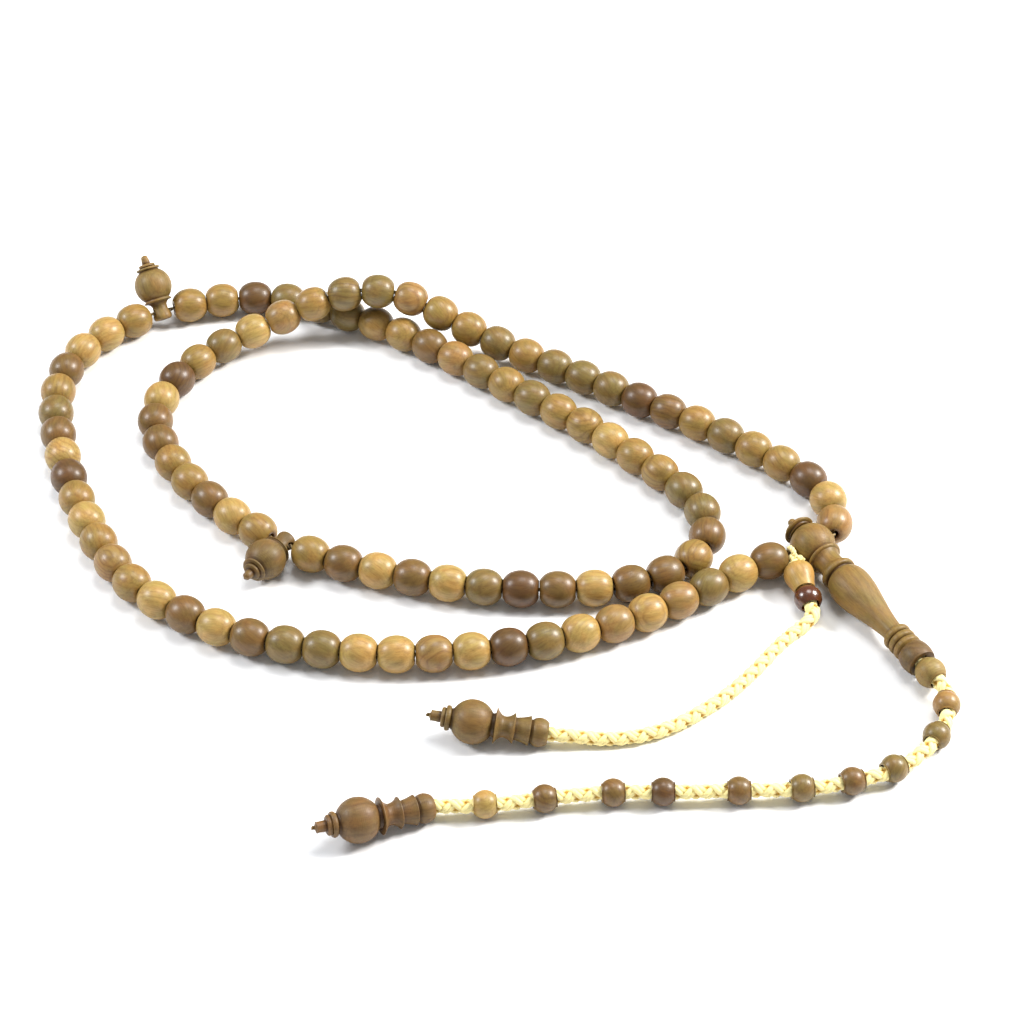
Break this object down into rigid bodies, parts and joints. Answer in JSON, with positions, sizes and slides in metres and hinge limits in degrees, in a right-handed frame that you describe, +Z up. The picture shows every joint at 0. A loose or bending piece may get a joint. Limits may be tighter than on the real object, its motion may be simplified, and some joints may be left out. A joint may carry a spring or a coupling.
{
  "type": "misbaha prayer beads",
  "caption": "Wooden prayer bead strand laid in a double loop, with separator beads, a long turned head bead and two tail cords with turned finials, one carrying counter beads.",
  "frame": {"origin": "on the table, under the middle of the bounding box of the strand, its separators and its head bead, without the two tail cords", "axes": "+Z up from the table; +X along the strand's longer way, towards the head bead; +Y away from the two tail cords"},
  "size_m": [0.1967, 0.1747, 0.0165],
  "materials": {
    "bead_wood": "satin, hand polished",
    "turned_wood": "matt, turned and left unpolished",
    "light_wood": "satin, hand polished",
    "dark_wood": "glossy, lacquered",
    "cream_cord": "satin braid"
  },
  "bodies": {
    "loop": {"main_string": "cream_cord", "section_1_beads_01": "bead_wood", "section_1_beads_02": "bead_wood", "section_1_beads_03": "bead_wood", "section_1_beads_04": "bead_wood", "section_1_beads_05": "bead_wood", "section_1_beads_06": "bead_wood", "section_1_beads_07": "bead_wood", "section_1_beads_08": "bead_wood", "section_1_beads_09": "bead_wood", "section_1_beads_10": "bead_wood", "section_1_beads_11": "bead_wood", "section_2_beads_01": "bead_wood", "section_2_beads_02": "bead_wood", "section_2_beads_03": "bead_wood", "section_2_beads_04": "bead_wood", "section_2_beads_05": "bead_wood", "section_2_beads_06": "bead_wood", "section_2_beads_07": "bead_wood", "section_2_beads_08": "bead_wood", "section_2_beads_09": "bead_wood", "section_2_beads_10": "bead_wood", "section_2_beads_11": "bead_wood", "section_3_beads_01": "bead_wood", "section_3_beads_02": "bead_wood", "section_3_beads_03": "bead_wood", "section_3_beads_04": "bead_wood", "section_3_beads_05": "bead_wood", "section_3_beads_06": "bead_wood", "section_3_beads_07": "bead_wood", "section_3_beads_08": "bead_wood", "section_3_beads_09": "bead_wood", "section_3_beads_10": "bead_wood", "section_3_beads_11": "bead_wood"},
    "head": {"head_bead": "turned_wood", "counter_cord_core": "cream_cord"},
    "foot_disc": {"foot_disc": "turned_wood"},
    "stop_bead": {"stop_bead": "bead_wood"},
    "counter_tail": {"counter_cord": "cream_cord"},
    "counter_bead_01": {"counter_bead_01": "bead_wood"},
    "counter_bead_02": {"counter_bead_02": "bead_wood"},
    "counter_bead_03": {"counter_bead_03": "bead_wood"},
    "counter_bead_04": {"counter_bead_04": "bead_wood"},
    "counter_bead_05": {"counter_bead_05": "bead_wood"},
    "counter_bead_06": {"counter_bead_06": "bead_wood"},
    "counter_bead_07": {"counter_bead_07": "bead_wood"},
    "counter_bead_08": {"counter_bead_08": "bead_wood"},
    "counter_bead_09": {"counter_bead_09": "bead_wood"},
    "counter_bead_10": {"counter_bead_10": "bead_wood"},
    "counter_finial": {"counter_finial": "turned_wood"},
    "pendant": {"pendant_loop": "cream_cord", "pendant_cord": "cream_cord"},
    "slider": {"slider_bead": "light_wood"},
    "dark_bead": {"dark_bead": "dark_wood"},
    "pendant_finial": {"pendant_finial": "turned_wood"},
    "separator_1": {"separator_1": "turned_wood"},
    "separator_2": {"separator_2": "turned_wood"}
  },
  "joints": [
    {"name": "head_swing", "type": "hinge", "parent": "loop", "child": "head", "pos_m": [0.07327, -0.02576, 0.0048], "axis": [-0.8746, -0.4848, 0], "range_deg": [0, 70]},
    {"name": "foot_disc_spin", "type": "hinge", "parent": "head", "child": "foot_disc", "pos_m": [0.09167, -0.05896, 0.00404], "axis": [0.4847, -0.8744, -0.02], "continuous": true},
    {"name": "stop_bead_spin", "type": "hinge", "parent": "head", "child": "stop_bead", "pos_m": [0.09405, -0.06324, 0.00394], "axis": [0.4847, -0.8744, -0.02], "continuous": true},
    {"name": "counter_tail_swing", "type": "hinge", "parent": "head", "child": "counter_tail", "pos_m": [0.09545, -0.06578, 0.00388], "axis": [0, 0, 1], "range_deg": [-4, 20]},
    {"name": "counter_bead_01_slide", "type": "slide", "parent": "counter_tail", "child": "counter_bead_01", "axis": [-0.1012, -0.9927, -0.0656], "range_m": [-0.0012, 0.0012]},
    {"name": "counter_bead_02_slide", "type": "slide", "parent": "counter_tail", "child": "counter_bead_02", "axis": [-0.5281, -0.8492, 0], "range_m": [-0.0012, 0.0012]},
    {"name": "counter_bead_03_slide", "type": "slide", "parent": "counter_tail", "child": "counter_bead_03", "axis": [-0.8749, -0.4842, 0], "range_m": [-0.0015, 0.0015]},
    {"name": "counter_bead_04_slide", "type": "slide", "parent": "counter_tail", "child": "counter_bead_04", "axis": [-0.9651, -0.262, 0], "range_m": [-0.0015, 0.0015]},
    {"name": "counter_bead_05_slide", "type": "slide", "parent": "counter_tail", "child": "counter_bead_05", "axis": [-0.9941, -0.1086, 0], "range_m": [-0.002, 0.002]},
    {"name": "counter_bead_06_slide", "type": "slide", "parent": "counter_tail", "child": "counter_bead_06", "axis": [-0.9996, -0.0272, 0], "range_m": [-0.0025, 0.0025]},
    {"name": "counter_bead_07_slide", "type": "slide", "parent": "counter_tail", "child": "counter_bead_07", "axis": [-1, -0.0027, 0], "range_m": [-0.002, 0.002]},
    {"name": "counter_bead_08_slide", "type": "slide", "parent": "counter_tail", "child": "counter_bead_08", "axis": [-0.9983, -0.0584, 0], "range_m": [-0.0018, 0.0018]},
    {"name": "counter_bead_09_slide", "type": "slide", "parent": "counter_tail", "child": "counter_bead_09", "axis": [-0.9877, -0.1562, 0], "range_m": [-0.0025, 0.0025]},
    {"name": "counter_bead_10_slide", "type": "slide", "parent": "counter_tail", "child": "counter_bead_10", "axis": [-0.9964, -0.0849, 0], "range_m": [-0.0025, 0.0025]},
    {"name": "counter_finial_spin", "type": "hinge", "parent": "counter_tail", "child": "counter_finial", "pos_m": [-0.00575, -0.09868, 0.00273], "axis": [-0.935, -0.3348, 0.117], "continuous": true},
    {"name": "pendant_swing", "type": "hinge", "parent": "loop", "child": "pendant", "pos_m": [0.07327, -0.02576, 0.0048], "axis": [-0.8746, -0.4848, 0], "range_deg": [0, 70]},
    {"name": "slider_slide", "type": "slide", "parent": "pendant", "child": "slider", "axis": [0.2241, -0.9635, -0.1461], "range_m": [0, 0.0015]},
    {"name": "dark_bead_spin", "type": "hinge", "parent": "slider", "child": "dark_bead", "pos_m": [0.07121, -0.04045, 0.00311], "axis": [0.2241, -0.9635, -0.1461], "continuous": true},
    {"name": "pendant_finial_spin", "type": "hinge", "parent": "pendant", "child": "pendant_finial", "pos_m": [0.01664, -0.07917, 0.00273], "axis": [-0.9877, 0.1038, 0.117], "continuous": true},
    {"name": "separator_1_turn", "type": "hinge", "parent": "loop", "child": "separator_1", "pos_m": [-0.07282, 0.0571, 0.004], "axis": [0.8962, 0.4436, 0], "range_deg": [-43, 105]},
    {"name": "separator_2_turn", "type": "hinge", "parent": "loop", "child": "separator_2", "pos_m": [-0.03915, -0.02425, 0.004], "axis": [-0.8495, 0.5275, 0], "range_deg": [0, 173]}
  ]
}
